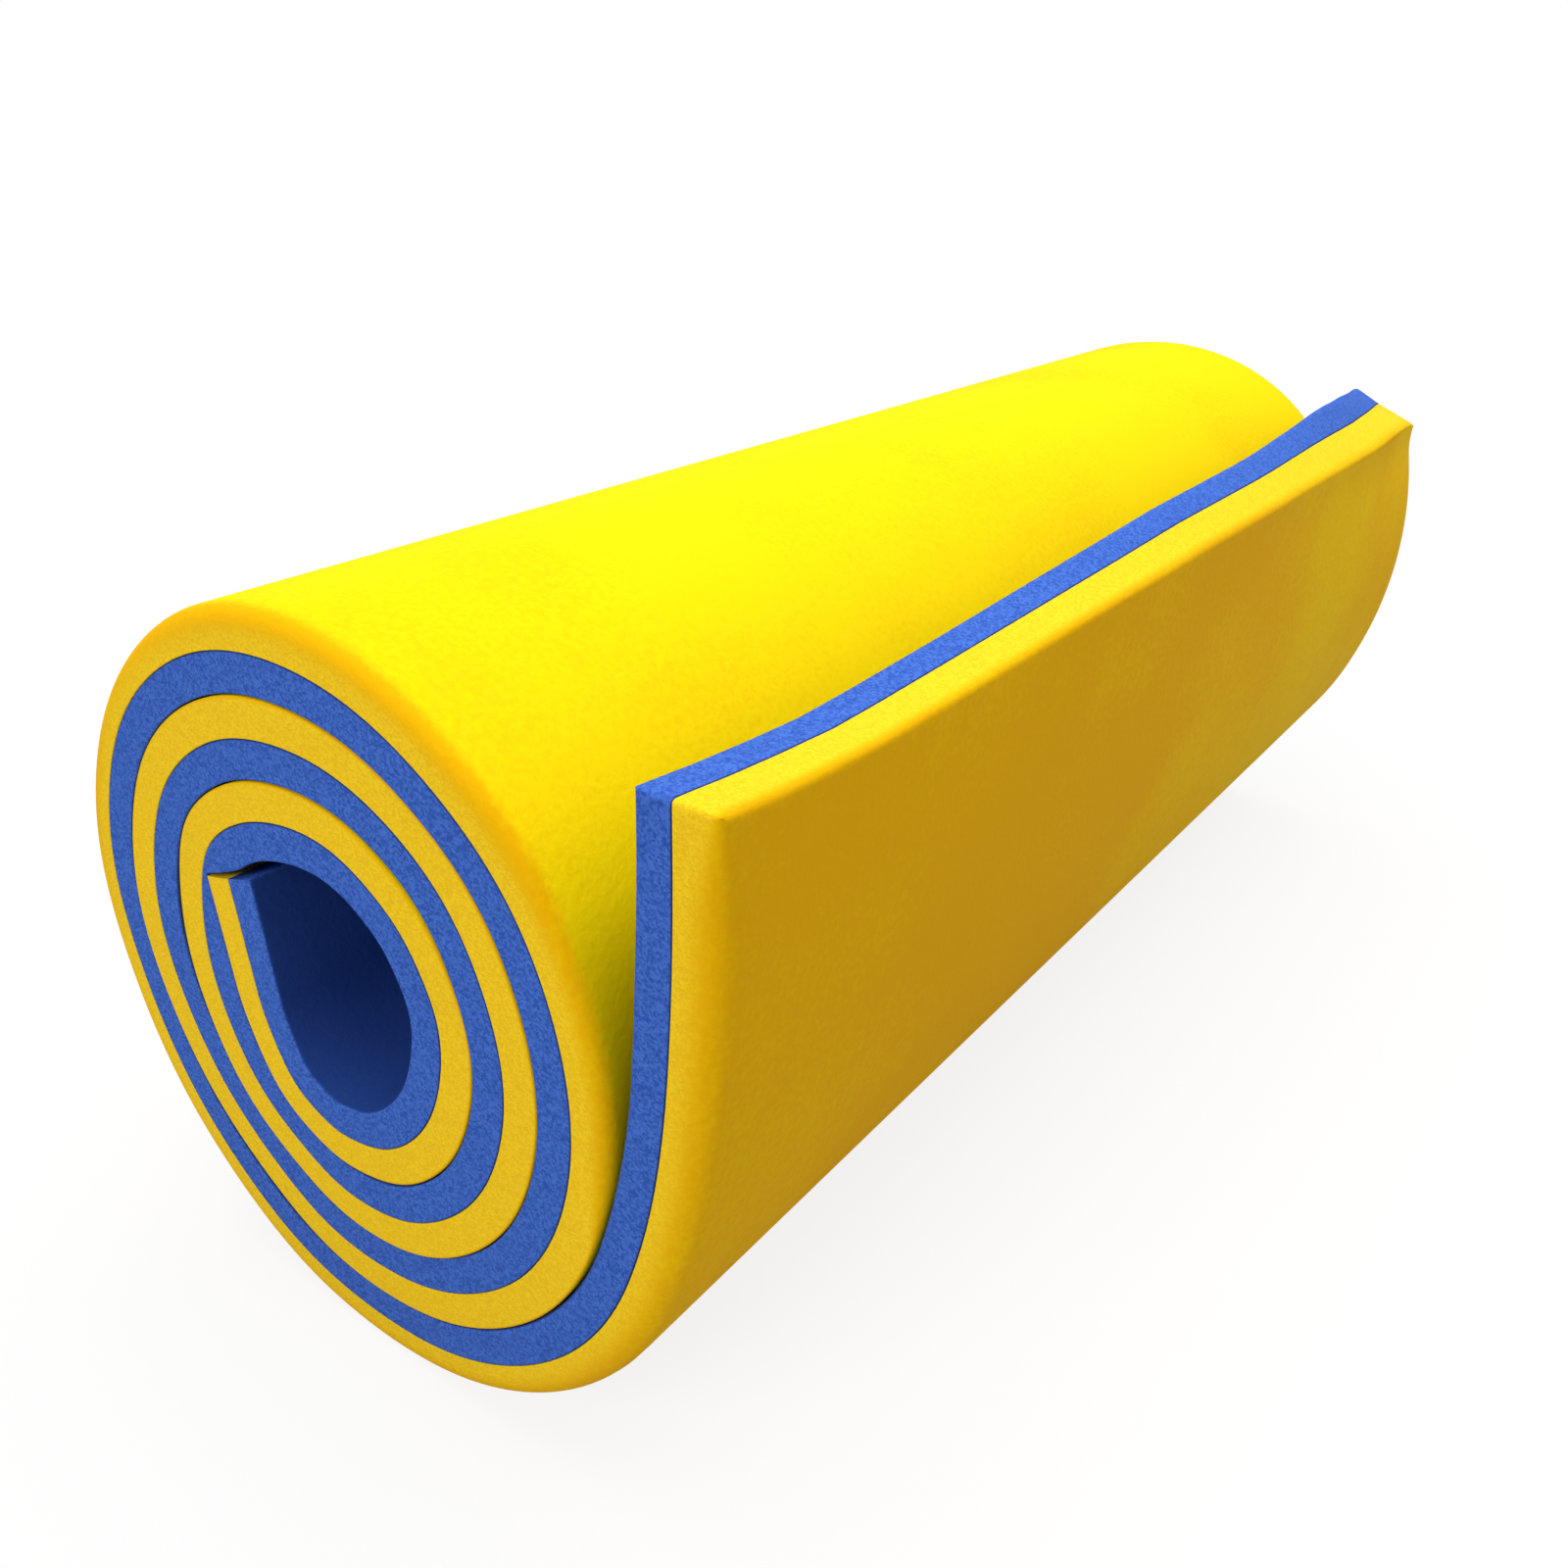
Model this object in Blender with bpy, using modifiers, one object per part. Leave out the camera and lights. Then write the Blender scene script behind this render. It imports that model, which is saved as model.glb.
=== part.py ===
"""Swim float mat, rolled up: two foam plies laminated face to face, with the outer end left free as a flap.

The cross-section lies in XZ and the roll's axis along Y, with the face that the photograph shows towards -Y.
The origin is the middle of the flat strip that the roll stands on. The sheet is drawn from its bond line, the
line on the cut face where the two plies meet. Wound up, that line is a spiral given by its support function,
so that every wrap lies parallel to the next. A turn is in degrees, counted inwards along the winding from the
roll's right-hand side, and it is also how far the sheet leans outwards there.
"""

import math

import bmesh
import bpy
import numpy as np

MM = 0.001
FULL_TURN = 360.0

# The foam sheet
MAT_WIDTH = 600 * MM
PLY_THICKNESS = 12.5 * MM
BOND_GAP = 0.3 * MM  # kept between the meshes of the two plies, which are laminated in reality
WRAP_GAP = 0.3 * MM  # kept between one wrap and the next
PITCH = 2 * PLY_THICKNESS + BOND_GAP + WRAP_GAP
YELLOW_OUTSIDE = BOND_GAP / 2 + PLY_THICKNESS  # places across the sheet, counted outwards from the bond line
YELLOW_INSIDE = BOND_GAP / 2
BLUE_OUTSIDE = -BOND_GAP / 2
BLUE_INSIDE = -BOND_GAP / 2 - PLY_THICKNESS
RIM_RADIUS = 5 * MM  # of the yellow ply's outer edges where no wrap lies on them
RIM_STEPS = 3

# The winding
CORE_RADIUS = 41 * MM  # mean distance from the middle of the roll to the bond line at the inner end
OVAL_RISE = 3.2 * MM  # the roll leans into a slight oval
OVAL_LEAN = 62.0
LOBE_RISE = 1 * MM  # and is a little fuller at three places
LOBE_LEAN = 27.6
FLAP_TURN = 20.7
END_TURN = 1254.0
TURN_STEP = 3.0
TURNS = np.arange(FLAP_TURN, END_TURN, TURN_STEP)
FLAT_DEPTH = 0.5 * MM  # how much the foam is pressed flat where the roll stands

# The flap, the free outer end. Its far corner keeps more of the roll's curl, turns up at the edge and is shorter
FLAP_LENGTH = 153 * MM
FLAP_TIP_LEAN = 2.4
FLAP_FAR_LENGTH = 142 * MM
FLAP_FAR_CURL = -15.6
FLAP_FAR_TIP_LEAN = 8.0
CURL_SHARE = 0.8  # of the way from the root to the edge, where that corner is curled in most
CURL_START_SHARE = 0.35  # of the mat's width, from where it curls more and more
CURL_POWER = 1.6
FLAP_STEPS = 16
FLAP_STATIONS = 14
SPLIT_GAP = 0.3 * MM  # at the line that the flap bends about

# The inner end, which runs straight and presses its corner into the blue ply of the wrap outside it
PINCHED_PLY = 2 * MM  # what is left of that ply at the corner
PRESS_RETURN = 4 * MM  # how far past the cut end the pressed ply is back in place
END_STEPS = 8
RETURN_STEPS = 6
SEARCH_STEPS = 1200

YELLOW = "#FFDD10"
BLUE = "#2F58C8"
FOAM_ROUGHNESS = 0.75


def across(turn):
    """The direction out of the roll through the sheet at a turn, as x and z."""
    angle = np.radians(turn)
    return np.stack([np.cos(angle), -np.sin(angle)], axis=-1)


def along(turn):
    """The direction along the sheet towards its outer end at a turn."""
    angle = np.radians(turn)
    return np.stack([np.sin(angle), np.cos(angle)], axis=-1)


def wound_line(turns, place):
    """Points at these turns on the line that lies at this place across the sheet."""
    angle = np.radians(-turns)
    oval = 2 * (angle - math.radians(OVAL_LEAN))
    lobe = 3 * (angle - math.radians(LOBE_LEAN))
    wound = PITCH * (END_TURN - turns) / FULL_TURN
    distance = CORE_RADIUS + wound + OVAL_RISE * np.cos(oval) + LOBE_RISE * np.cos(lobe)
    change = PITCH / math.tau - 2 * OVAL_RISE * np.sin(oval) - 3 * LOBE_RISE * np.sin(lobe)
    return (distance + place)[:, None] * across(turns) + change[:, None] * along(turns)


def wound_point(turn, place):
    return wound_line(np.array([turn]), place)[0]


def flap_line(place, curl=0.0):
    """Points from the flap's root to its free edge, with this much of the far corner's curl."""
    share = np.linspace(0, 1, FLAP_STEPS + 1)
    straightening = FLAP_TIP_LEAN + (FLAP_TURN - FLAP_TIP_LEAN) * (1 - share) ** 2
    curling = np.interp(share, (0, CURL_SHARE, 1), (FLAP_TURN, FLAP_FAR_CURL, FLAP_FAR_TIP_LEAN))
    lean = (1 - curl) * straightening + curl * curling
    length = (1 - curl) * FLAP_LENGTH + curl * FLAP_FAR_LENGTH
    run = along(lean)
    step = (length - SPLIT_GAP) / FLAP_STEPS
    path = np.vstack([(0, 0), np.cumsum((run[1:] + run[:-1]) / 2 * step, axis=0)])
    root = wound_point(FLAP_TURN, 0) + SPLIT_GAP * run[0]
    return root + path + place * across(lean)


def floor_strip():
    """The middle of the strip that the outer wrap is pressed flat on, and the turns that it lies between."""
    turns = np.linspace(FLAP_TURN, FLAP_TURN + FULL_TURN / 2, SEARCH_STEPS)
    line = wound_line(turns, YELLOW_OUTSIDE)
    floor_height = line[:, 1].min() + FLAT_DEPTH
    flat = np.flatnonzero(line[:, 1] < floor_height)[[0, -1]]
    return np.array((line[flat, 0].mean(), floor_height)), turns[flat]


def straight_end_length():
    """How far the inner end runs straight until its corner leaves PINCHED_PLY of the ply outside it."""
    reach = np.linspace(0, 2 * CORE_RADIUS, SEARCH_STEPS)
    corner = wound_point(END_TURN, YELLOW_OUTSIDE + WRAP_GAP) - reach[:, None] * along(END_TURN)
    turns = np.linspace(END_TURN - FULL_TURN, END_TURN - FULL_TURN / 2, SEARCH_STEPS)
    outside = wound_line(turns, BLUE_OUTSIDE)
    left = np.linalg.norm(corner[:, None] - outside, axis=2).min(axis=1)
    return reach[np.argmax(left < PINCHED_PLY)]


def straight_line(turn, place, length):
    """Points on the straight line that leaves the winding inwards at a turn."""
    reach = np.linspace(0, length, END_STEPS + 1)
    return wound_point(turn, place) - reach[:, None] * along(turn)


def pressed_line(length):
    """The blue ply's inside where the inner end presses on it: along the end, round its corner and back."""
    turn = END_TURN - FULL_TURN
    pressed = straight_line(turn, BLUE_INSIDE, length + WRAP_GAP)
    corner = pressed[-1]
    later = TURNS[turn < TURNS]
    free = wound_line(later, BLUE_INSIDE)
    past = (corner - free) @ along(turn)
    back = np.argmax(past > PRESS_RETURN)
    bend = corner - PLY_THICKNESS * across(turn)
    share = np.linspace(0, 1, RETURN_STEPS + 1)[1:, None]
    returning = (1 - share) ** 2 * corner + 2 * share * (1 - share) * bend + share**2 * free[back]
    return np.vstack([pressed, returning]), later[back]


def least_gap(outer, inner):
    """The least distance from a ply's outside to its own inside, at least half a turn further out."""
    apart = round(FULL_TURN / 2 / TURN_STEP) + len(strip)
    return min(np.linalg.norm(inner[: i - apart] - outer[i], axis=1).min() for i in range(apart + 1, len(outer)))


def shader_colour(hex_colour):
    """A hex colour as the linear values that a shader takes."""
    channels = [int(hex_colour[i : i + 2], 16) / 255 for i in (1, 3, 5)]
    linear = [c / 12.92 if c <= 0.04045 else ((c + 0.055) / 1.055) ** 2.4 for c in channels]
    return (*linear, 1)


def foam(name, hex_colour):
    material = bpy.data.materials.new(name)
    material.use_nodes = True
    material.diffuse_color = shader_colour(hex_colour)
    shader = material.node_tree.nodes["Principled BSDF"]
    shader.inputs["Base Color"].default_value = shader_colour(hex_colour)
    shader.inputs["Roughness"].default_value = FOAM_ROUGHNESS
    shader.inputs["Metallic"].default_value = 0
    return material


def add_ply(name, stations, hex_colour, rounded=0, round_tip=False, hinge=None):
    """A ply through stations along the roll, each of them a y and the ply's outer and inner line there.

    Its outer edges at both cut faces are rounded along the first points, as many as rounded says, and
    round_tip rounds the edge that runs across the mat at the outer line's last point.
    """
    start = hinge.location if hinge else (0, 0, 0)
    bm = bmesh.new()
    weight = bm.edges.layers.float.new("bevel_weight_edge")
    rings = [
        [bm.verts.new((x - start[0], y - start[1], z - start[2])) for x, z in np.vstack([outer, inner[::-1]])]
        for y, outer, inner in stations
    ]
    for near, far in zip(rings, rings[1:]):
        for i in range(len(near)):
            bm.faces.new((near[i - 1], near[i], far[i], far[i - 1]))
        if round_tip:
            tip = len(stations[0][1]) - 1
            bm.edges.get((near[tip], far[tip]))[weight] = 1
    for cut in (rings[0], rings[-1]):
        bm.faces.new(cut)
        for first, second in zip(cut[:rounded], cut[1:rounded]):
            bm.edges.get((first, second))[weight] = 1
    bmesh.ops.recalc_face_normals(bm, faces=bm.faces)
    mesh = bpy.data.meshes.new(name)
    bm.to_mesh(mesh)
    bm.free()
    mesh.materials.append(foam(name + "_foam", hex_colour))
    ply = bpy.data.objects.new(name, mesh)
    ply.parent = hinge
    mat.objects.link(ply)
    if rounded:
        bevel = ply.modifiers.new("rounded rim", "BEVEL")
        bevel.limit_method = "WEIGHT"
        bevel.width = RIM_RADIUS
        bevel.segments = RIM_STEPS
    return ply


for obj in list(bpy.data.objects):
    bpy.data.objects.remove(obj, do_unlink=True)
mat = bpy.data.collections.new("swim_float_mat")
bpy.context.scene.collection.children.link(mat)

# The outer wrap, which the floor presses flat at its lowest point
end_length = straight_end_length()
floor, strip = floor_strip()
outer_turns = np.sort(np.append(TURNS, strip))
yellow_outer = np.vstack(
    [wound_line(outer_turns, YELLOW_OUTSIDE), straight_line(END_TURN, YELLOW_OUTSIDE, end_length)]
)
yellow_outer[:, 1] = np.maximum(yellow_outer[:, 1], floor[1])

# The wound sheet
yellow_inner = np.vstack([wound_line(TURNS, YELLOW_INSIDE), straight_line(END_TURN, YELLOW_INSIDE, end_length)])
blue_outer = np.vstack([wound_line(TURNS, BLUE_OUTSIDE), straight_line(END_TURN, BLUE_OUTSIDE, end_length)])
pressed, back_turn = pressed_line(end_length)
blue_inner = np.vstack(
    [
        wound_line(TURNS[TURNS < END_TURN - FULL_TURN], BLUE_INSIDE),
        pressed,
        wound_line(TURNS[TURNS > back_turn], BLUE_INSIDE),
        straight_line(END_TURN, BLUE_INSIDE, end_length),
    ]
)
free_rim = np.count_nonzero(outer_turns < FLAP_TURN + FULL_TURN)
cuts = (-MAT_WIDTH / 2, MAT_WIDTH / 2)
yellow_roll = [(y, yellow_outer - floor, yellow_inner - floor) for y in cuts]
blue_roll = [(y, blue_outer - floor, blue_inner - floor) for y in cuts]
add_ply("yellow_ply_roll", yellow_roll, YELLOW, rounded=free_rim)
add_ply("blue_ply_roll", blue_roll, BLUE)

# The flap, which bends outwards about the yellow face at its root
axis = wound_point(FLAP_TURN, YELLOW_OUTSIDE) + SPLIT_GAP / 2 * along(FLAP_TURN) - floor
flap_hinge = bpy.data.objects.new("flap_hinge", None)
flap_hinge.location = (axis[0], 0, axis[1])
mat.objects.link(flap_hinge)
yellow_flap, blue_flap = [], []
for width_share in np.linspace(0, 1, FLAP_STATIONS + 1):
    y = (width_share - 1 / 2) * MAT_WIDTH
    curl = max(0, (width_share - CURL_START_SHARE) / (1 - CURL_START_SHARE)) ** CURL_POWER
    yellow_flap.append((y, flap_line(YELLOW_OUTSIDE, curl) - floor, flap_line(YELLOW_INSIDE, curl) - floor))
    blue_flap.append((y, flap_line(BLUE_OUTSIDE, curl) - floor, flap_line(BLUE_INSIDE, curl) - floor))
add_ply("yellow_ply_flap", yellow_flap, YELLOW, rounded=FLAP_STEPS + 1, round_tip=True, hinge=flap_hinge)
add_ply("blue_ply_flap", blue_flap, BLUE, hinge=flap_hinge)

bond = np.vstack([wound_line(TURNS, 0), straight_line(END_TURN, 0, end_length)])
mat_length = np.linalg.norm(np.diff(bond, axis=0), axis=1).sum() + FLAP_LENGTH
print(f"mat length along the bond line {mat_length / MM:.0f} mm, straight inner end {end_length / MM:.1f} mm")
print(f"least gap of the yellow ply to itself {least_gap(yellow_outer, yellow_inner) / MM:.2f} mm")
print(f"least gap of the blue ply to itself {least_gap(blue_outer, blue_inner) / MM:.2f} mm")
print("flap axis", [round(value, 5) for value in flap_hinge.location])
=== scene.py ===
"""Looks of a rolled swim float mat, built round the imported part."""

import math

import bmesh
import bpy
import numpy as np
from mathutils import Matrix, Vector


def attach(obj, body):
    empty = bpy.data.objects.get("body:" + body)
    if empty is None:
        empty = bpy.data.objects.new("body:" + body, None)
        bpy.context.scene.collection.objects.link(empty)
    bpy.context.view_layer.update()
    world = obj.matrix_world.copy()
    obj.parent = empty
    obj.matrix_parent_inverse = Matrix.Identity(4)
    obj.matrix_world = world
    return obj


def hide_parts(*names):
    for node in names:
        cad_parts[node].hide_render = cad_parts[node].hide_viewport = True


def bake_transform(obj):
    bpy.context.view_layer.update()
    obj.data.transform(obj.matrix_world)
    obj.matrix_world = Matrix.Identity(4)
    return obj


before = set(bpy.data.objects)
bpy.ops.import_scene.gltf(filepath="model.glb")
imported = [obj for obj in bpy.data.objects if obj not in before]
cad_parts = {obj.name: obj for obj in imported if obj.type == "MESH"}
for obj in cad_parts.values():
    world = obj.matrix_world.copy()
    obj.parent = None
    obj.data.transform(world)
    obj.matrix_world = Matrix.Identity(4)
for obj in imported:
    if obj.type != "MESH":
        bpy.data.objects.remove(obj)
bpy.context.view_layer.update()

# The wound sheet, two plies of closed-cell polyethylene foam, yellow outside and blue inside, which are laminated
# face to face and rolled up tight. Each ply is one strip, cut square with a knife and swept along the roll's
# spiral. The sheet's inner end stays straight and digs its corner into the blue ply of the wrap outside it.
MM = 0.001
MAT_WIDTH = 600 * MM
PLY = 12.5 * MM
PLY_GAP = 0.3 * MM
WRAP = 2 * PLY + 2 * PLY_GAP
BOND_GAP = 0.15 * MM
YELLOW_PLACE = BOND_GAP / 2  # of a ply's inner face across the sheet, counted outwards from the bond line
BLUE_PLACE = -BOND_GAP / 2 - PLY
# turns are in degrees, counted inwards from the roll's right side
FLAP_TURN, SEAM_TURN, END_TURN, TURN_STEP = 20.7, 88.0, 1254.0, 2.0
CORE_RADIUS = 41 * MM
OVAL_RISE, OVAL_LEAN = 3.2 * MM, 62.0
LOBE_RISE, LOBE_LEAN = 1 * MM, 27.6
ROLL_MIDDLE = np.array((1.64 * MM, 138.705 * MM))  # from the middle of the flat strip that the roll stands on
STRAIGHT_END = 36.7 * MM
# how much longer the sheet's inside face is there than its outside face, and how bent that slant is
END_SLANT, SLANT_BEND = 6.1 * MM, 1.5
# how far past the end the dented ply turns back to the winding, and how steeply
PRESS_RETURN, PRESS_RISE = 8 * MM, 3.2 * MM
CORNER_BEFORE, CORNER_AFTER = 2 * MM, 3 * MM  # the stretch of the dent where it turns round the end's corner
PUSH_PLACE = np.array((-53, 25)) * MM  # where the end pushes the wraps outside it up, from the roll's middle
PUSH_REACH, PUSH_RISE = 20 * MM, 3.6 * MM
RIM_RADIUS = 5 * MM
RIM_FADE = 12.0  # degrees over which the outer edge's rounding ends, where the next wrap comes to lie on it
FULLER_SHARE, FULLER_TURN, FULLER_SPREAD = 0.7, 228.0, 34.0  # how much rounder it is at the upper left
CUT_RADIUS = 0.7 * MM  # a knife's edge in foam springs back a little, so the wraps meet in a fine groove
BOND_RADIUS = 0.3 * MM
KNIFE_SHARE, WANDER, WANDER_REACH = 0.12, 0.25 * MM, 30 * MM  # how uneven a cut's edges and its face are
KNIFE_WAVES = ((1, 2.3, 1), (1, 5.1, 0), (1, 11.3, 2))  # size, waves to a turn of the winding, and phase
WANDER_WAVES = ((1, 1.7, 0.4), (1, 4.3, 2), (0.5, 9.1, 0))


def linear(hex_colour):
    channels = [int(hex_colour[i : i + 2], 16) / 255 for i in (1, 3, 5)]
    return (*(c / 12.92 if c <= 0.04045 else ((c + 0.055) / 1.055) ** 2.4 for c in channels), 1)


def add(tree, kind, inputs=None, **settings):
    """Adds a node with its settings. An input is named or numbered, and takes a value or another node's output.

    A Mix node's two inputs are 2 and 3 for values, and 6 and 7 for colours. Its output 2 is the mixed colour.
    """
    made = tree.nodes.new(kind)
    for name, value in settings.items():
        setattr(made, name, value)
    for name, value in (inputs or {}).items():
        if isinstance(value, bpy.types.NodeSocket):
            tree.links.new(value, made.inputs[name])
        else:
            made.inputs[name].default_value = value
    return made


# Marks of each pattern to the metre: cells of 0.7 mm and a grain of 1 mm in a sliced face, pebbles of 2.4 mm and
# clouds of 90 mm in the skin. Such foam's cells and pebbles are finer, and these are as coarse as they need to show.
CELLS, GRAINS, PEBBLES, CLOUDS = 1.4 / MM, 0.95 / MM, 0.42 / MM, 0.011 / MM
CLOUD_SWING, PEBBLE_SWING = 0.2, 0.18  # how far each shifts the skin between its lit colour and its painted shade colour
FOAM_RELIEF = 1 * MM


def foam(name, lit_skin_hex, shaded_skin_hex, cut_hex, pore_hex):
    """Closed-cell polyethylene foam: a matt pebbled skin, and a sliced face that shows its cells as speckles.

    The skin has painted shade, a deeper colour, under the roll, on the flap and round edges, and is paler facing up.
    """
    material = bpy.data.materials.new(name)
    material.use_nodes = True
    tree = material.node_tree
    shader = tree.nodes["Principled BSDF"]
    shader.inputs["Roughness"].default_value = 0.75
    shader.inputs["Specular IOR Level"].default_value = 0.05
    place = add(tree, "ShaderNodeTexCoord").outputs["Object"]
    cut = add(tree, "ShaderNodeAttribute", attribute_name="cut").outputs["Fac"]
    # painted shade: the share of the skin's darker colour that stands in for shade, stored on the mesh
    deep = add(tree, "ShaderNodeAttribute", attribute_name="deep_colour").outputs["Fac"]
    cells = add(tree, "ShaderNodeTexVoronoi", {"Vector": place, "Scale": CELLS})
    grain = add(tree, "ShaderNodeTexNoise", {"Vector": place, "Scale": GRAINS, "Detail": 2.0})
    pebbles = add(tree, "ShaderNodeTexNoise", {"Vector": place, "Scale": PEBBLES, "Detail": 3.0, "Roughness": 0.65})
    clouds = add(tree, "ShaderNodeTexNoise", {"Vector": place, "Scale": CLOUDS, "Detail": 3.0})
    cell_tone = add(tree, "ShaderNodeSeparateColor", {0: cells.outputs["Color"]}).outputs[0]
    mottle = add(tree, "ShaderNodeMix", {0: 0.5, 2: cell_tone, 3: grain.outputs["Fac"]}, data_type="FLOAT").outputs[0]
    pore = add(tree, "ShaderNodeMapRange", {"Value": mottle, "From Min": 0.3, "From Max": 0.68}).outputs[0]
    sliced = add(tree, "ShaderNodeMix", {0: pore, 6: linear(pore_hex), 7: linear(cut_hex)}, data_type="RGBA")
    depth = deep  # the share of the skin's painted shade colour, which its Mix node keeps between 0 and 1
    for pattern, low, high in ((clouds, -CLOUD_SWING, CLOUD_SWING), (pebbles, PEBBLE_SWING, -PEBBLE_SWING)):
        spread = {"Value": pattern.outputs["Fac"], "From Min": 0.35, "From Max": 0.65, "To Min": low, "To Max": high}
        shift = add(tree, "ShaderNodeMapRange", spread).outputs[0]
        depth = add(tree, "ShaderNodeMath", {0: depth, 1: shift}).outputs[0]
    skin = add(tree, "ShaderNodeMix", {0: depth, 6: linear(lit_skin_hex), 7: linear(shaded_skin_hex)}, data_type="RGBA")
    colour = add(tree, "ShaderNodeMix", {0: cut, 6: skin.outputs[2], 7: sliced.outputs[2]}, data_type="RGBA")
    tree.links.new(colour.outputs[2], shader.inputs["Base Color"])
    heights = {0: cut, 2: pebbles.outputs["Fac"], 3: cells.outputs["Distance"]}
    relief = add(tree, "ShaderNodeMix", heights, data_type="FLOAT").outputs[0]
    bump = add(tree, "ShaderNodeBump", {"Height": relief, "Strength": 0.25, "Distance": FOAM_RELIEF})
    tree.links.new(bump.outputs["Normal"], shader.inputs["Normal"])
    return material


# the colours are those of the lit skin, of the skin with painted shade, of a sliced face and of that face's pores
yellow_foam = foam("yellow_polyethylene_foam", "#F8D700", "#EDB200", "#FCD422", "#F2C21C")
blue_foam = foam("blue_polyethylene_foam", "#2A4A96", "#1E3A7E", "#4873D0", "#2F54AC")


def across(turn):
    """The direction out of the roll through the sheet at a turn, as x and z."""
    return np.stack([np.cos(np.radians(turn)), -np.sin(np.radians(turn))], -1)


def along(turn):
    """The direction along the sheet towards its outer end at a turn."""
    return np.stack([np.sin(np.radians(turn)), np.cos(np.radians(turn))], -1)


def wound(turn, place):
    """The points at turns of the winding and places across the sheet, from the roll's middle."""
    turn, place = np.asarray(turn, float), np.asarray(place, float)
    oval, lobe = 2 * np.radians(-turn - OVAL_LEAN), 3 * np.radians(-turn - LOBE_LEAN)
    distance = CORE_RADIUS + WRAP * (END_TURN - turn) / 360 + OVAL_RISE * np.cos(oval) + LOBE_RISE * np.cos(lobe)
    change = WRAP / math.tau - 2 * OVAL_RISE * np.sin(oval) - 3 * LOBE_RISE * np.sin(lobe)
    return (distance + place)[..., None] * across(turn) + change[..., None] * along(turn)


def rounded(a, b, radius):
    """Depths below two faces, moved in where the edge between the faces is rounded."""
    pull_a, pull_b = np.maximum(radius - a, 0), np.maximum(radius - b, 0)
    reach = np.maximum(np.hypot(pull_a, pull_b), 1e-9)
    keep = np.where((pull_a > 0) & (pull_b > 0), np.minimum(radius / reach, 1), 1)
    return a + pull_a * (1 - keep), b + pull_b * (1 - keep)


def rim_radius(turn):
    """The yellow ply's outer edge is round where no wrap lies on it, and roundest at the upper left."""
    free = np.clip((FLAP_TURN + 360 - turn) / RIM_FADE, 0, 1)
    fuller = 1 + FULLER_SHARE * np.exp(-(((turn - FULLER_TURN) / FULLER_SPREAD) ** 2))
    return CUT_RADIUS + free * (RIM_RADIUS * fuller - CUT_RADIUS)


def waves(turn, table):
    angle = np.radians(turn)
    return sum(size * np.sin(rate * angle + phase) for size, rate, phase in table)


def soften(w, d, turn, inner_radius, outer_radius):
    """Rounds a strip's four long edges, unevenly, as a knife leaves them, and lets the cut face wander a little."""
    side = np.minimum(w, MAT_WIDTH - w)
    a, b = rounded(side, d, inner_radius * (1 + KNIFE_SHARE * waves(turn, KNIFE_WAVES)))
    a, below = rounded(a, PLY - b, outer_radius)
    a = a + WANDER * waves(turn, WANDER_WAVES) * np.clip(1 - side / WANDER_REACH, 0, 1)
    return np.where(w < MAT_WIDTH / 2, a, MAT_WIDTH - a), PLY - below


# the zone round a rounded edge in which the sliced face turns to skin, in radii, and the degrees round it from the
# sliced face at which that starts and that it takes
SKIN_REACH, SKIN_START, SKIN_RUN = 1.7, 6.0, 36.0
CUT_SPILL = 1 * MM  # how far in from a cut the cells still show on a ply's inner face
RIM_SHADE = 0.3  # how far in from a cut, in radii, the painted shade on a rounded edge starts to fade, over one radius more
SHADE_TURN, SHADE_FADE = 190.0, 60.0  # the skin is painted with shade under the roll, which is gone by this turn


def easing(share):
    share = np.clip(share, 0, 1)
    return share**2 * (3 - 2 * share)


def sliced_share(side, d, outer_radius):
    """Where the foam is sliced open. A rounded outer edge fades to the skin, and an inner edge does so at once."""
    reach = np.minimum(SKIN_REACH * outer_radius, PLY)
    lean = np.degrees(np.arctan2(np.maximum(reach - (PLY - d), 0), np.maximum(reach - side, 0)))
    inner_face = d < 0.01 * MM
    return np.where(inner_face, np.clip(1 - side / CUT_SPILL, 0, 1), 1 - easing((lean - SKIN_START) / SKIN_RUN))


def rim_shade_share(side, outer_radius):
    """The skin that turns over a rounded edge keeps the painted shade."""
    return 1 - easing(side / outer_radius - RIM_SHADE)


# where the skins' stations are: from an edge, closer together where it is rounded, then across the mat's width,
# through a ply, and from the straight end's cut
EDGE_STATIONS = np.array((0, 0.25, 0.5, 0.8, 1.2, 1.8, 2.6, 3.6, 4.8, 6.4, 9)) * MM
WIDTH_STATIONS = np.concatenate(
    [EDGE_STATIONS, np.linspace(20 * MM, MAT_WIDTH - 20 * MM, 29), MAT_WIDTH - EDGE_STATIONS[::-1]]
)
DEPTH_STATIONS = np.concatenate([EDGE_STATIONS[:6], (4 * MM,), PLY - EDGE_STATIONS[9::-1]])
END_STATIONS = np.array((0, 0.2, 0.5, 0.9, 1.5, 2.6)) * MM


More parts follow.
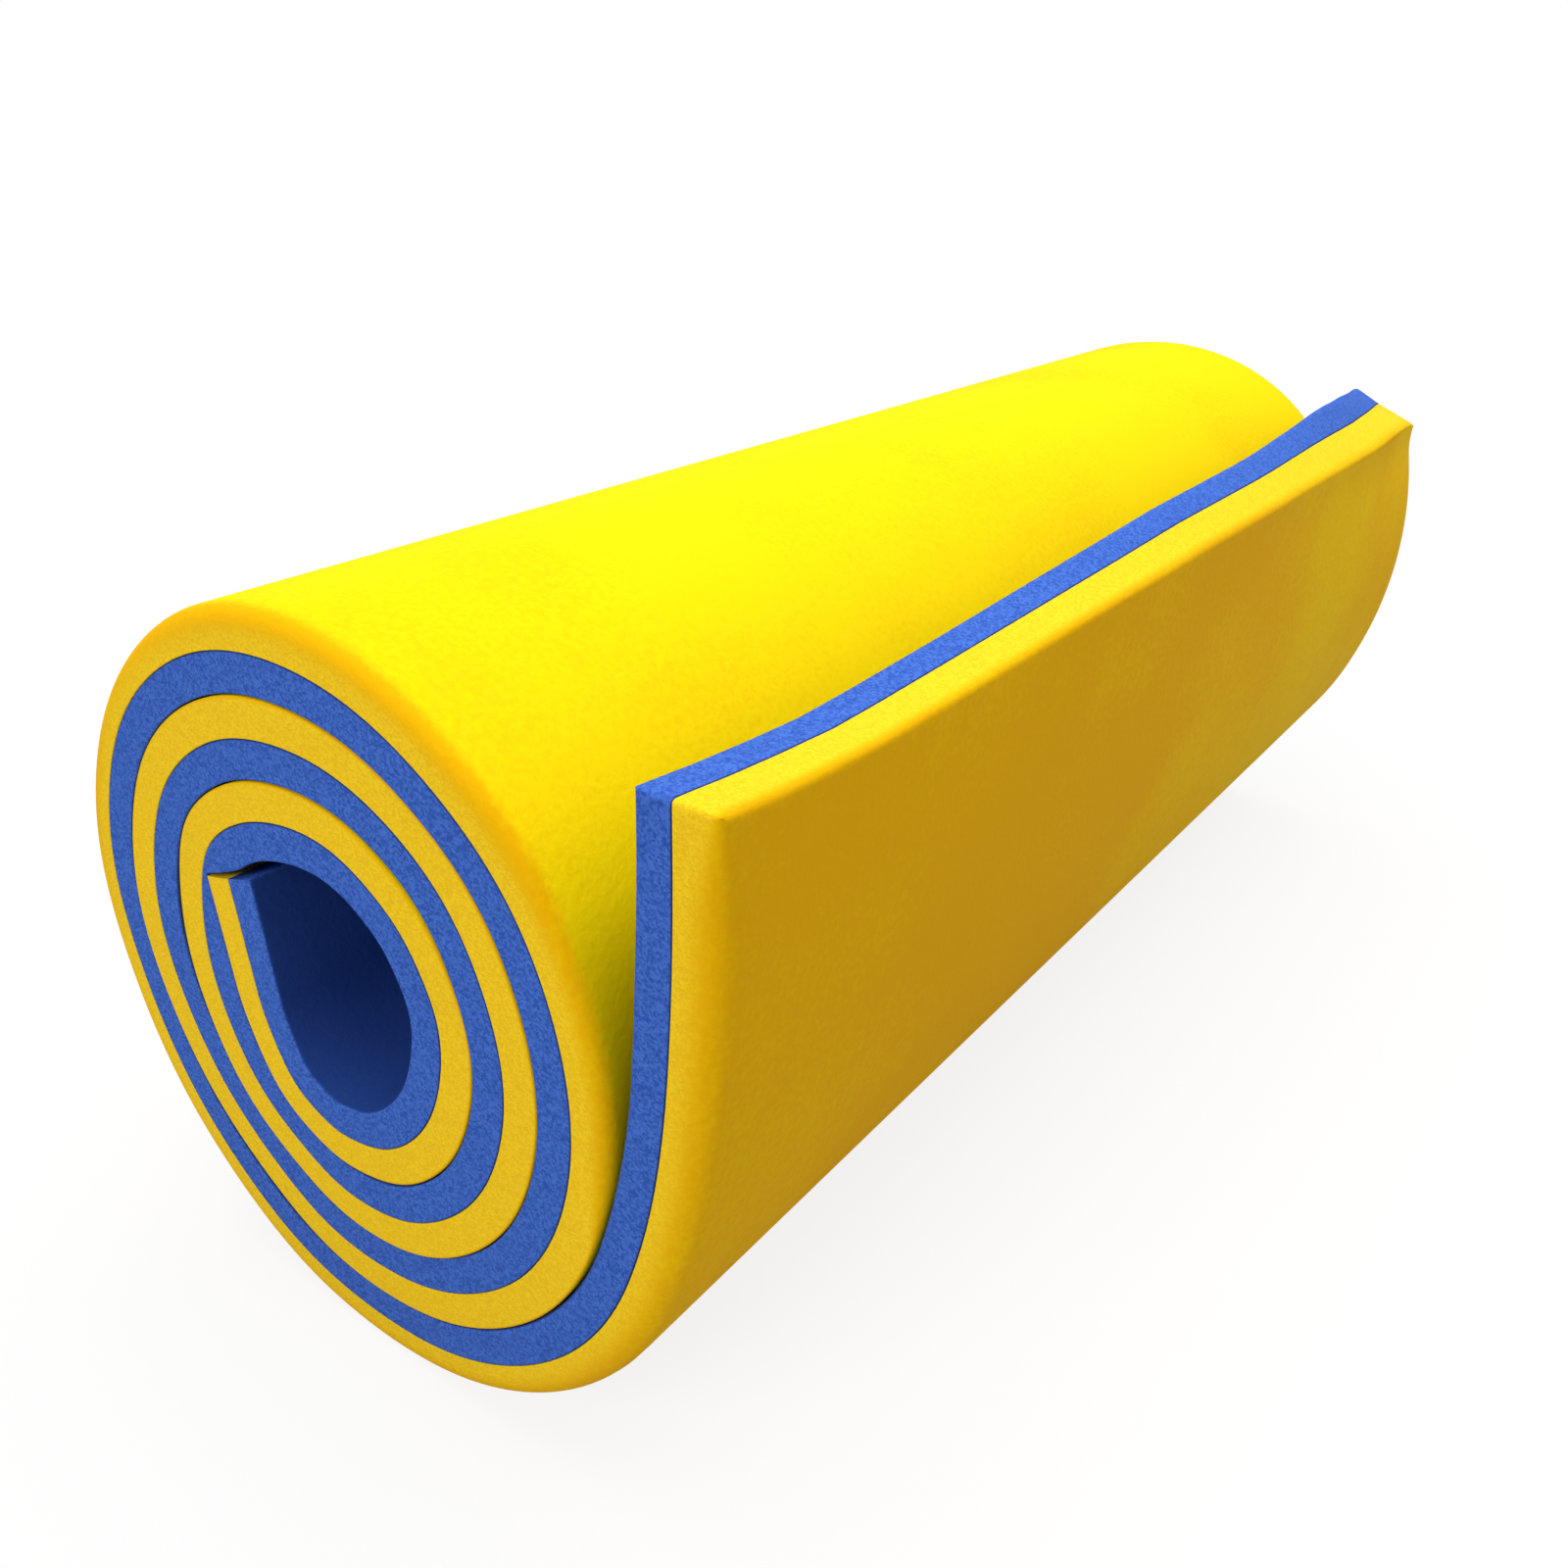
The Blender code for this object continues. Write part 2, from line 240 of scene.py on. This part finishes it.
def wound_tree(name, material):
    """Sweeps the strip's section, the object's own mesh, along the roll's spiral and on along its straight end."""
    tree = bpy.data.node_groups.new(name, "GeometryNodeTree")
    tree.interface.new_socket("Section", in_out="INPUT", socket_type="NodeSocketGeometry")
    labels = ("Outer Turn", "Inner Turn", "Turn Step", "Straight End", "Core Radius", "Wrap")
    labels += ("Oval Rise", "Oval Lean", "Lobe Rise", "Lobe Lean")
    for label in labels:
        tree.interface.new_socket(label, in_out="INPUT", socket_type="NodeSocketFloat")
    tree.interface.new_socket("Ply", in_out="OUTPUT", socket_type="NodeSocketGeometry")
    given = add(tree, "NodeGroupInput").outputs
    known = {label: given[label] for label in labels}
    known["index"] = add(tree, "GeometryNodeInputIndex").outputs[0]
    # Each row works out one value from those above it. Past the inner turn the same count goes on as a length along
    # the straight end, over the core's radius. The distance is the spiral's, from the roll's middle across the sheet,
    # and the change is how fast it grows outwards, which is the point's place along the sheet.
    for result, operation, *values in (
        ("straight", "DIVIDE", "Straight End", "Core Radius"),
        ("winding", "SUBTRACT", "Inner Turn", "Outer Turn"),
        ("span", "ADD", "winding", "straight"),
        ("steps", "DIVIDE", "span", "Turn Step"),
        ("count", "ROUND", "steps"),
        ("points", "ADD", "count", 1.0),
        ("step", "DIVIDE", "span", "count"),
        ("reach", "MULTIPLY_ADD", "index", "step", "Outer Turn"),
        ("turn", "MINIMUM", "reach", "Inner Turn"),
        ("beyond", "SUBTRACT", "reach", "turn"),
        ("past", "MULTIPLY", "beyond", "Core Radius"),
        ("from oval lean", "ADD", "turn", "Oval Lean"),
        ("oval", "MULTIPLY", "from oval lean", -2.0),
        ("oval cosine", "COSINE", "oval"),
        ("oval sine", "SINE", "oval"),
        ("oval slope", "MULTIPLY", "Oval Rise", -2.0),
        ("from lobe lean", "ADD", "turn", "Lobe Lean"),
        ("lobe", "MULTIPLY", "from lobe lean", -3.0),
        ("lobe cosine", "COSINE", "lobe"),
        ("lobe sine", "SINE", "lobe"),
        ("lobe slope", "MULTIPLY", "Lobe Rise", -3.0),
        ("growth", "DIVIDE", "Wrap", math.tau),
        ("inwards", "SUBTRACT", "Inner Turn", "turn"),
        ("even distance", "MULTIPLY_ADD", "growth", "inwards", "Core Radius"),
        ("oval distance", "MULTIPLY_ADD", "Oval Rise", "oval cosine", "even distance"),
        ("distance", "MULTIPLY_ADD", "Lobe Rise", "lobe cosine", "oval distance"),
        ("oval change", "MULTIPLY_ADD", "oval slope", "oval sine", "growth"),
        ("lobe change", "MULTIPLY_ADD", "lobe slope", "lobe sine", "oval change"),
        ("change", "SUBTRACT", "lobe change", "past"),
        ("cosine", "COSINE", "turn"),
        ("sine", "SINE", "turn"),
        ("x across", "MULTIPLY", "distance", "cosine"),
        ("x along", "MULTIPLY", "change", "sine"),
        ("x", "ADD", "x across", "x along"),
        ("z across", "MULTIPLY", "distance", "sine"),
        ("z along", "MULTIPLY", "change", "cosine"),
        ("z", "SUBTRACT", "z along", "z across"),
    ):
        inputs = {number: known.get(value, value) for number, value in enumerate(values)}
        known[result] = add(tree, "ShaderNodeMath", inputs, operation=operation).outputs[0]
    point = add(tree, "ShaderNodeCombineXYZ", {"X": known["x"], "Z": known["z"]}).outputs[0]
    line = add(tree, "GeometryNodeMeshLine", {"Count": known["points"]}).outputs[0]
    path = add(tree, "GeometryNodeSetPosition", {"Geometry": line, "Position": point}).outputs[0]
    mark = {"Geometry": path, "Name": "reach", "Value": known["reach"]}
    path = add(tree, "GeometryNodeStoreNamedAttribute", mark).outputs[0]
    spiral = add(tree, "GeometryNodeMeshToCurve", {"Mesh": path}).outputs[0]
    section = add(tree, "GeometryNodeMeshToCurve", {"Mesh": given["Section"]}).outputs[0]
    sweep = {"Curve": spiral, "Profile Curve": section, "Fill Caps": True}
    swept = add(tree, "GeometryNodeCurveToMesh", sweep).outputs[0]
    smooth = add(tree, "GeometryNodeSetShadeSmooth", {"Geometry": swept}).outputs[0]
    real = add(tree, "GeometryNodeRealizeInstances", {"Geometry": smooth}).outputs[0]
    ply = add(tree, "GeometryNodeSetMaterial", {"Geometry": real, "Material": material}).outputs[0]
    tree.links.new(ply, add(tree, "NodeGroupOutput").inputs[0])
    return tree


def store(mesh, **attributes):
    """Stores an array with a value for each point under each name."""
    for label, values in attributes.items():
        mesh.attributes.new(label, "FLOAT", "POINT").data.foreach_set("value", values.astype(np.float32))


def take(mesh, label):
    """The values stored under a name, which the mesh then no longer needs."""
    values = np.empty(len(mesh.vertices), np.float32)
    mesh.attributes[label].data.foreach_get("value", values)
    mesh.attributes.remove(mesh.attributes[label])
    return values.astype(float)


def wind(name, place, material):
    """One ply's strip, swept from the seam under the roll to the inner end. Each point keeps its depths and turn."""
    near = [(0, d) for d in DEPTH_STATIONS]
    outer = [(w, PLY) for w in WIDTH_STATIONS[1:]]
    far = [(MAT_WIDTH, d) for d in DEPTH_STATIONS[::-1][1:]]
    inner = [(w, 0) for w in WIDTH_STATIONS[::-1][1:-1]]
    section = np.array(near + outer + far + inner)
    mesh = bpy.data.meshes.new(name)
    edges = [(i, (i + 1) % len(section)) for i in range(len(section))]
    mesh.from_pydata([(w - MAT_WIDTH / 2, place + d, 0) for w, d in section], edges, [])
    store(mesh, width=section[:, 0], depth=section[:, 1])
    strip = bpy.data.objects.new(name, mesh)
    bpy.context.scene.collection.objects.link(strip)
    winding = strip.modifiers.new("winding", "NODES")
    winding.node_group = wound_tree(name + "_winding", material)
    sizes = {
        "Outer Turn": math.radians(SEAM_TURN),
        "Inner Turn": math.radians(END_TURN),
        "Turn Step": math.radians(TURN_STEP),
        "Straight End": STRAIGHT_END,
        "Core Radius": CORE_RADIUS,
        "Wrap": WRAP,
        "Oval Rise": OVAL_RISE,
        "Oval Lean": math.radians(OVAL_LEAN),
        "Lobe Rise": LOBE_RISE,
        "Lobe Lean": math.radians(LOBE_LEAN),
    }
    for item in winding.node_group.interface.items_tree:
        if item.name in sizes:
            winding[item.identifier] = sizes[item.name]
    graph = bpy.context.evaluated_depsgraph_get()
    strip.data = bpy.data.meshes.new_from_object(strip.evaluated_get(graph), depsgraph=graph)
    strip.modifiers.clear()
    return strip


def face_outwards(mesh, end_points=0):
    """Turns all faces outwards, and parts the end face, made of the first points, from the faces beside it."""
    bm = bmesh.new()
    bm.from_mesh(mesh)
    bmesh.ops.recalc_face_normals(bm, faces=bm.faces)
    end = {face for face in bm.faces if all(point.index < end_points for point in face.verts)}
    bmesh.ops.split_edges(bm, edges=[edge for edge in bm.edges if len(end.intersection(edge.link_faces)) == 1])
    bm.to_mesh(mesh)
    bm.free()


def pressed_route():
    """The blue ply's inside along the straight inner end and round its corner, with the turn where it is free."""
    first = END_TURN - 360
    start = wound(first, BLUE_PLACE)
    corner = start - (STRAIGHT_END + PLY_GAP) * along(first)
    turns = np.linspace(first, first + 90, 901)  # a quarter turn in tenths of a degree
    free = wound(turns, BLUE_PLACE)
    back = np.argmax((corner - free) @ along(first) > PRESS_RETURN)
    share = np.linspace(0, 1, 17)[1:, None]
    bend = corner - PLY * across(first) - PRESS_RISE * along(first)
    returning = (1 - share) ** 2 * corner + 2 * share * (1 - share) * bend + share**2 * free[back]
    return first, turns[back], np.vstack([start, corner, returning])


yellow_wound = wind("yellow_ply_wound", YELLOW_PLACE, yellow_foam)
blue_wound = wind("blue_ply_wound", BLUE_PLACE, blue_foam)

for strip, place in ((yellow_wound, YELLOW_PLACE), (blue_wound, BLUE_PLACE)):
    mesh = strip.data
    w, d, reach = take(mesh, "width"), take(mesh, "depth"), np.degrees(take(mesh, "reach"))
    turn = np.minimum(reach, END_TURN)
    past = np.radians(reach - turn) * CORE_RADIUS
    # the last stations of the straight end are moved up close to its cut, which is rounded
    levels, level = np.unique(np.round(reach, 3), return_inverse=True)
    from_end = len(levels) - 1 - level
    past = np.where(from_end < len(END_STATIONS), STRAIGHT_END - END_STATIONS[from_end % len(END_STATIONS)], past)
    before_end = STRAIGHT_END - past
    inner_radius, outer_radius = (BOND_RADIUS, rim_radius(turn)) if place > 0 else (CUT_RADIUS, BOND_RADIUS)
    side = np.minimum(np.minimum(w, MAT_WIDTH - w), before_end)
    cut_share = sliced_share(side, d, outer_radius)
    # painted shade: the outer wrap's skin is darker under the roll, and every skin round its rounded edges
    painted_shade_share = np.maximum(np.clip((SHADE_TURN - turn) / SHADE_FADE, 0, 1), rim_shade_share(side, outer_radius))
    w, d = soften(w, d, turn, inner_radius, outer_radius)
    before_end, d = rounded(before_end, d, inner_radius)
    before_end, below = rounded(before_end, PLY - d, CUT_RADIUS if place > 0 else BOND_RADIUS)
    d = PLY - below
    slant = END_SLANT * np.clip((YELLOW_PLACE + PLY - place - d) / (2 * PLY), 0, 1) ** SLANT_BEND
    past = np.where(past > 0, STRAIGHT_END - before_end, 0)
    past = past + slant * (np.maximum(past, 0) / STRAIGHT_END) ** 2
    section = wound(turn, place + d) - past[:, None] * along(turn)
    if place < 0:
        first, back, route = pressed_route()
        lengths = np.concatenate([[0], np.cumsum(np.linalg.norm(np.diff(route, axis=0), axis=1))])
        # a quarter of the stations go to the corner, which is the second point of the route
        stops = (0, lengths[1] - CORNER_BEFORE, lengths[1] + CORNER_AFTER, lengths[-1])
        shares = (0, 0.5, 0.75, 1)
        pressed = (turn > first) & (turn < back)
        at = np.interp((turn[pressed] - first) / (back - first), shares, stops)
        inside = np.stack([np.interp(at, lengths, route[:, 0]), np.interp(at, lengths, route[:, 1])], -1)
        outside = wound(turn[pressed], place + PLY)
        through = (d[pressed] / PLY)[:, None]
        section[pressed] = inside * (1 - through) + outside * through
    push = np.exp(-((section - PUSH_PLACE) ** 2).sum(1) / (2 * PUSH_REACH**2))
    section += ROLL_MIDDLE + np.stack([np.zeros(len(push)), PUSH_RISE * push], 1)
    section[:, 1] = np.maximum(section[:, 1], 0)
    co = np.stack([section[:, 0], w - MAT_WIDTH / 2, section[:, 1]], 1)
    mesh.vertices.foreach_set("co", co.ravel().astype(np.float32))
    store(mesh, cut=cut_share, deep_colour=painted_shade_share)
    face_outwards(mesh)
    # all faces have four corners and are smooth, apart from the two end faces
    for polygon in mesh.polygons:
        polygon.use_smooth = len(polygon.vertices) == 4
    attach(strip, "roll")
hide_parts("yellow_ply_roll")
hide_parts("blue_ply_roll")

# The flap, the sheet's free outer end. Let go from the roll it straightens, though its far corner keeps more of
# the curl, and its cut edge waves a little. It is one with the wound sheet, and a seam under the roll, where the
# sheet lies flat, is where its two meshes start.
FLAP_LENGTH, FLAP_FAR_LENGTH = 153 * MM, 142 * MM
FLAP_STEP, FLAP_STEPS = 3 * MM, 48
# leans are in degrees from upright: the near end's at its tip, then the far end's at its tip and where it curls most
TIP_LEAN, FAR_TIP_LEAN, FAR_CURL = 2.4, 8.0, -15.6
# the share of the length at which it does, and how the curl grows from a share of the width to the far end
CURL_SHARE, CURL_START_SHARE, CURL_POWER = 0.8, 0.35, 1.6
# how much more the free edge leans out than that, and how much further it reaches, along the mat's width
EDGE_PLACES = np.array((-300, -285, -240, -180, -120, -40, 50, 120, 170, 200, 225, 250, 275, 300)) * MM
EDGE_LEANS = np.array((0.6, -0.5, -0.2, 0.5, 2.3, 4, 6.6, 6, 5.3, 5.2, 4.3, 2.9, 0.3, -3.7))
EDGE_REACHES = np.array((1, -2.2, -5.7, -3.8, -0.6, 3, 4, 4.3, 3.4, 2.9, 3.2, 2.5, 2.4, -0.2)) * MM
# the cut there isn't square to the sheet: degrees by which it falls away towards the yellow side, in each ply
YELLOW_SLANTS = np.array((-4, -0.2, -3.4, 1, 5.3, 14.2, 16.9, 18, 17, 12.8, 9, 9, 13.6, 21.7))
BLUE_SLANTS = np.array((-2, -0.6, 0.2, 3, 7.9, 13.5, 16.7, 22.2, 33, 31.4, 30, 24.5, 24.7, 25.1))
SLANT_RUN = 30 * MM
# how thick each ply is there, at the near end and at the far corner, for each millimetre of its wound thickness,
# from which share of the width it grows, and how that sets in along the flap
YELLOW_EDGE, BLUE_EDGE, THICKER_FROM, THICKER_POWER = (1.1, 1.62), (0.9, 1.15), 0.6, 1.5
CORNER_RADIUS, FREE_RADIUS = 2 * MM, 2.5 * MM
NEAR_RADIUS, NEAR_SHARE = 8 * MM, 0.25  # the outer edge is rounder in the near quarter of the width
TIP_RADIUS, TIP_TAPER = 2.4 * MM, 30 * MM
KNIFE_RUN = 60.0  # degrees of the winding that the flap's length counts for where its cuts waver
SHADE_LIFT_START, SHADE_LIFT_RUN, SHADE_LIFT_SHARE = 0.35, 0.5, 0.35  # the skin's painted shade weakens towards the flap's far end, which is painted lighter


def evened(values, reach):
    """Each value's mean with so many on either side of it."""
    count = 2 * reach + 1
    return np.convolve(np.pad(values, reach, "edge"), np.ones(count) / count, "valid")


def eased(y, values):
    """A value along the free edge, with the table's corners smoothed out, at stations a millimetre apart."""
    fine = np.linspace(EDGE_PLACES[0] - 30 * MM, EDGE_PLACES[-1] + 30 * MM, 661)
    return np.interp(y, fine, evened(evened(np.interp(fine, EDGE_PLACES, values), 9), 9))


def flap_bond(shares, widths):
    """Points on the flap's bond line at shares of its length and at widths, with the lean of the sheet there."""
    fine = np.linspace(0, 1, 201)
    straightening = TIP_LEAN + (FLAP_TURN - TIP_LEAN) * (1 - fine) ** 2
    curling = evened(np.interp(fine, (0, CURL_SHARE, 1), (FLAP_TURN, FAR_CURL, FAR_TIP_LEAN)), 8)
    points, leans = np.empty((len(shares), 2)), np.empty(len(shares))
    for width in np.unique(widths):
        y = width - MAT_WIDTH / 2
        curl = max(0, (width / MAT_WIDTH - CURL_START_SHARE) / (1 - CURL_START_SHARE)) ** CURL_POWER
        lean = (1 - curl) * straightening + curl * curling + eased(y, EDGE_LEANS) * fine**2
        length = (1 - curl) * FLAP_LENGTH + curl * FLAP_FAR_LENGTH + eased(y, EDGE_REACHES)
        run = along(lean)
        steps = (run[1:] + run[:-1]) / 2 * length / (len(fine) - 1)
        path = np.vstack([(0, 0), np.cumsum(steps, 0)]) + wound(FLAP_TURN, 0)
        here = widths == width
        points[here] = np.stack([np.interp(shares[here], fine, path[:, axis]) for axis in (0, 1)], -1)
        leans[here] = np.interp(shares[here], fine, lean)
    return points, leans


def free_end(name, place, material):
    """One ply's free end, as a closed skin over a grid of stations along the sheet, across it and through it."""
    turns = np.arange(SEAM_TURN, FLAP_TURN, -TURN_STEP)
    lengths = np.concatenate([FLAP_STEP * np.arange(FLAP_STEPS + 1), FLAP_LENGTH - EDGE_STATIONS[8::-1]])
    grid = (len(turns) + len(lengths), len(WIDTH_STATIONS), len(DEPTH_STATIONS))
    i, j, k = np.indices(grid).reshape(3, -1)
    skin = (i % (grid[0] - 1) == 0) | (j % (grid[1] - 1) == 0) | (k % (grid[2] - 1) == 0)
    number = np.full(skin.size, -1)
    number[skin] = np.arange(skin.sum())
    number = number.reshape(grid)
    i, j, k = i[skin], j[skin], k[skin]
    turn = np.concatenate([turns, np.full(len(lengths), FLAP_TURN)])[i]
    before_tip = FLAP_LENGTH - np.concatenate([np.zeros(len(turns)), lengths])[i]
    w, d = WIDTH_STATIONS[j], DEPTH_STATIONS[k]
    side = np.minimum(w, MAT_WIDTH - w)
    # from the seam to the flap's root the ply comes free of the wrap under it
    freed = np.clip((SEAM_TURN - turn) / (SEAM_TURN - FLAP_TURN), 0, 1)
    if place > 0:
        nearness = np.clip(1 - w / (NEAR_SHARE * MAT_WIDTH), 0, 1) * freed
        outer_radius = RIM_RADIUS + (NEAR_RADIUS - RIM_RADIUS) * nearness
        outer_radius = TIP_RADIUS + (outer_radius - TIP_RADIUS) * np.clip(before_tip / TIP_TAPER, 0, 1)
        inner_radius, tip_radius = BOND_RADIUS, TIP_RADIUS
    else:
        inner_radius = CUT_RADIUS + (FREE_RADIUS - CUT_RADIUS) * freed
        outer_radius, tip_radius = BOND_RADIUS, BOND_RADIUS
    side_cut, tip_cut = sliced_share(side, d, outer_radius), sliced_share(before_tip, d, tip_radius)
    cut_share = np.where(side < before_tip, side_cut, tip_cut)
    # painted shade over the whole flap's skin, weaker towards its far end and full round the rounded edges
    shade_lifted = SHADE_LIFT_SHARE * np.clip((w / MAT_WIDTH - SHADE_LIFT_START) / SHADE_LIFT_RUN, 0, 1)
    painted_shade_share = np.maximum(1 - shade_lifted, rim_shade_share(side, outer_radius))
    corner = CORNER_RADIUS + max(tip_radius - CORNER_RADIUS, 0) * np.clip(1 - (PLY - d) / tip_radius, 0, 1) ** 2
    side, before_tip = rounded(side, before_tip, corner)
    run = turn - (FLAP_LENGTH - before_tip) / FLAP_LENGTH * KNIFE_RUN
    moved, d = soften(np.where(w < MAT_WIDTH / 2, side, MAT_WIDTH - side), d, run, inner_radius, outer_radius)
    before_tip, d = rounded(before_tip, d, inner_radius)
    before_tip, below = rounded(before_tip, PLY - d, tip_radius)
    d = PLY - below
    share = 1 - before_tip / FLAP_LENGTH
    bond, lean = flap_bond(share, w)
    near_edge, far_edge = YELLOW_EDGE if place > 0 else BLUE_EDGE
    far = np.clip((w / MAT_WIDTH - THICKER_FROM) / (1 - THICKER_FROM), 0, 1)
    out = (place + d) * (1 + (near_edge + (far_edge - near_edge) * far - 1) * share**THICKER_POWER)
    slant = eased(w - MAT_WIDTH / 2, YELLOW_SLANTS if place > 0 else BLUE_SLANTS)
    slip = -np.tan(np.radians(slant)) * out * np.clip(1 - before_tip / SLANT_RUN, 0, 1) ** 2
    on_flap = bond + out[:, None] * across(lean) + slip[:, None] * along(lean)
    section = np.where((i < len(turns))[:, None], wound(turn, place + d), on_flap) + ROLL_MIDDLE
    section[:, 1] = np.maximum(section[:, 1], 0)
    co = np.stack([section[:, 0], moved - MAT_WIDTH / 2, section[:, 1]], 1)
    sheets = [np.take(number, end, axis=axis) for axis in range(3) for end in (0, -1)]
    quads = [np.stack([s[:-1, :-1], s[1:, :-1], s[1:, 1:], s[:-1, 1:]], -1).reshape(-1, 4) for s in sheets]
    mesh = bpy.data.meshes.new(name)
    mesh.from_pydata(co.tolist(), [], np.concatenate(quads).tolist())
    store(mesh, cut=cut_share, deep_colour=painted_shade_share)
    mesh.materials.append(material)
    # the face at the seam is parted from the others, because it would shade the cut faces beside it
    face_outwards(mesh, end_points=grid[1] * grid[2])
    mesh.shade_smooth()
    piece = bpy.data.objects.new(name, mesh)
    bpy.context.scene.collection.objects.link(piece)
    return piece


yellow_flap = free_end("yellow_ply_free_end", YELLOW_PLACE, yellow_foam)
blue_flap = free_end("blue_ply_free_end", BLUE_PLACE, blue_foam)
for piece in (yellow_flap, blue_flap):
    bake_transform(piece)
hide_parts("yellow_ply_flap")
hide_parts("blue_ply_flap")

# The studio: white paper that keeps the mat's soft shadow, a broad soft lamp overhead, a smaller one in front, a
# weak one at the back right, and a pale surround that lifts the shaded sides.
PAPER_SIDE = 6.0
SHADOW_SHARE = 0.15  # of the paper's own shading that the camera sees near the mat, the rest is plain white
SHADOW_CORE, SHADOW_REACH = 0.35, 0.75  # how far from the mat's middle that share starts to fade, and is gone
AMBIENT = 0.3
LAMP_AIM = Vector((0, 0, 0.1))
LAMPS = (  # place, width and power
    ("overhead_softbox", (0.06, 0.1, 1.6), 2.0, 27),
    ("front_softbox", (0.1, -1.7, 1.2), 0.9, 13.5),
    ("back_softbox", (0.7, 1.1, 0.9), 0.6, 2.4),
)
paper_mesh = bpy.data.meshes.new("studio_paper")
corners = [(x * PAPER_SIDE / 2, y * PAPER_SIDE / 2, 0) for x, y in ((-1, -1), (1, -1), (1, 1), (-1, 1))]
paper_mesh.from_pydata(corners, [], [(0, 1, 2, 3)])
paper = bpy.data.objects.new("studio_paper", paper_mesh)
bpy.context.scene.collection.objects.link(paper)
# uncoated matt paper, which has no gloss. It is seen as white, and throws less light back on the mat.
white_paper = bpy.data.materials.new("matt_white_paper")
white_paper.use_nodes = True
tree = white_paper.node_tree
matt = tree.nodes["Principled BSDF"]
matt.inputs["Roughness"].default_value = 0.9
rays = add(tree, "ShaderNodeLightPath").outputs
tone = {0: rays["Is Camera Ray"], 6: linear("#C4C4C4"), 7: linear("#F4F4F4")}
tree.links.new(add(tree, "ShaderNodeMix", tone, data_type="RGBA").outputs[2], matt.inputs["Base Color"])
place = add(tree, "ShaderNodeTexCoord").outputs["Object"]
distance = add(tree, "ShaderNodeVectorMath", {0: place}, operation="LENGTH").outputs["Value"]
fade = {"Value": distance, "From Min": SHADOW_CORE, "From Max": SHADOW_REACH, "To Min": 1 - SHADOW_SHARE}
plain = add(tree, "ShaderNodeMapRange", fade, interpolation_type="SMOOTHSTEP").outputs[0]
seen = add(tree, "ShaderNodeMath", {0: rays["Is Camera Ray"], 1: plain}, operation="MULTIPLY").outputs[0]
white = add(tree, "ShaderNodeEmission").outputs[0]
mixed = add(tree, "ShaderNodeMixShader", {0: seen, 1: matt.outputs[0], 2: white})
tree.links.new(mixed.outputs[0], tree.nodes["Material Output"].inputs[0])
paper_mesh.materials.append(white_paper)

world = bpy.data.worlds.new("pale_surround")
bpy.context.scene.world = world
world.use_nodes = True
tree = world.node_tree
rays = add(tree, "ShaderNodeLightPath").outputs
seen = add(tree, "ShaderNodeMath", {0: rays["Is Camera Ray"], 1: rays["Is Glossy Ray"]}, operation="MAXIMUM")
level = add(tree, "ShaderNodeMapRange", {"Value": seen.outputs[0], "To Min": AMBIENT}).outputs[0]
tree.nodes["Background"].inputs["Color"].default_value = (1, 1, 1, 1)
tree.links.new(level, tree.nodes["Background"].inputs["Strength"])

for name, spot, size, energy in LAMPS:
    softbox = bpy.data.lights.new(name, "AREA")
    softbox.shape = "DISK"
    softbox.size = size
    softbox.energy = energy
    lamp = bpy.data.objects.new(name, softbox)
    lamp.location = spot
    lamp.rotation_euler = (LAMP_AIM - lamp.location).to_track_quat("-Z", "Y").to_euler()
    bpy.context.scene.collection.objects.link(lamp)

# the view is the photograph's, as the fit of the spiral to it gave
view = bpy.data.cameras.new("photograph_view")
view.lens = 31.35
view.sensor_width = 36
camera = bpy.data.objects.new("photograph_view", view)
camera.location = (0.3142, -0.48861, 0.37973)
camera.rotation_euler = (math.radians(63.917), 0, math.radians(36.842))
bpy.context.scene.collection.objects.link(camera)
bpy.context.scene.camera = camera
bpy.context.scene.view_settings.view_transform = "Standard"
